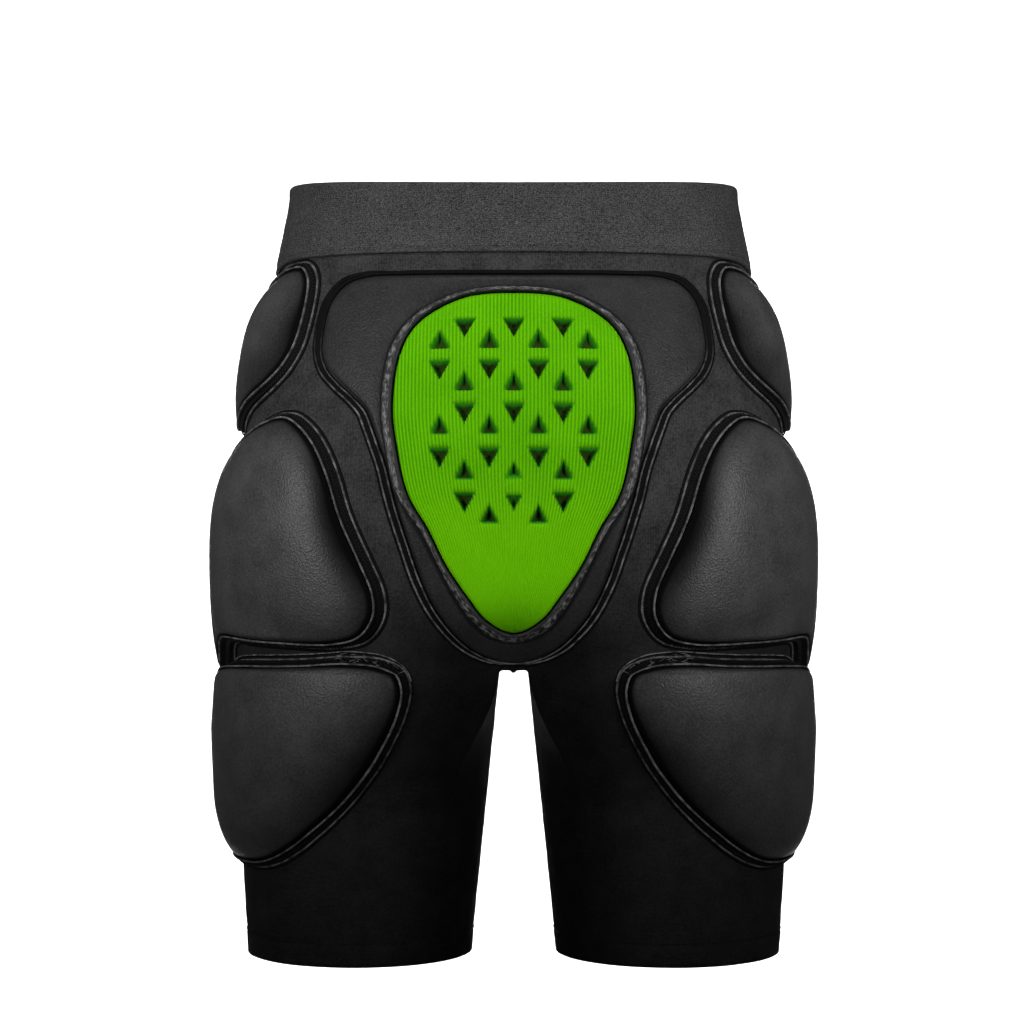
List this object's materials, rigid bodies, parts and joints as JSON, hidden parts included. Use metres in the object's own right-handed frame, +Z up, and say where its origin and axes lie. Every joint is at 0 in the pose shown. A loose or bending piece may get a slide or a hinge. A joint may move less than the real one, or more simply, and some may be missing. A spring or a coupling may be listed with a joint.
{
  "type": "padded compression shorts",
  "caption": "Close-fitting stretch shorts with a wide elastic waistband, foam pads on the hips and thighs, and a padded seat panel with a dented green tailbone pad.",
  "frame": {"origin": "centre of the waist opening, half-way up the waistband", "axes": "+Z up towards the wearer's head, -Y towards the wearer's back, where the tailbone pad is, and +X towards the wearer's right"},
  "size_m": [0.3652, 0.2397, 0.454],
  "materials": {
    "stretch_cloth": "black stretch knit",
    "waist_elastic": "dark grey mottled elastic knit",
    "pad_cloth": "black knit drawn over foam",
    "edge_tape": "black tape with a slight sheen",
    "piping": "glossy black grained piping",
    "green_rib": "bright green ribbed knit over foam"
  },
  "bodies": {
    "root": {"shorts_body": "stretch_cloth", "waistband": "waist_elastic", "seat_panel": "pad_cloth", "seat_panel_rim": "edge_tape", "tailbone_frame": "piping", "tailbone_pad": "green_rib", "hip_pad_right": "pad_cloth", "hip_pad_rim_right": "edge_tape", "thigh_pad_right": "pad_cloth", "thigh_pad_rim_right": "edge_tape", "lower_thigh_pad_right": "pad_cloth", "lower_thigh_pad_rim_right": "edge_tape", "hip_pad_left": "pad_cloth", "hip_pad_rim_left": "edge_tape", "thigh_pad_left": "pad_cloth", "thigh_pad_rim_left": "edge_tape", "lower_thigh_pad_left": "pad_cloth", "lower_thigh_pad_rim_left": "edge_tape"}
  },
  "joints": []
}
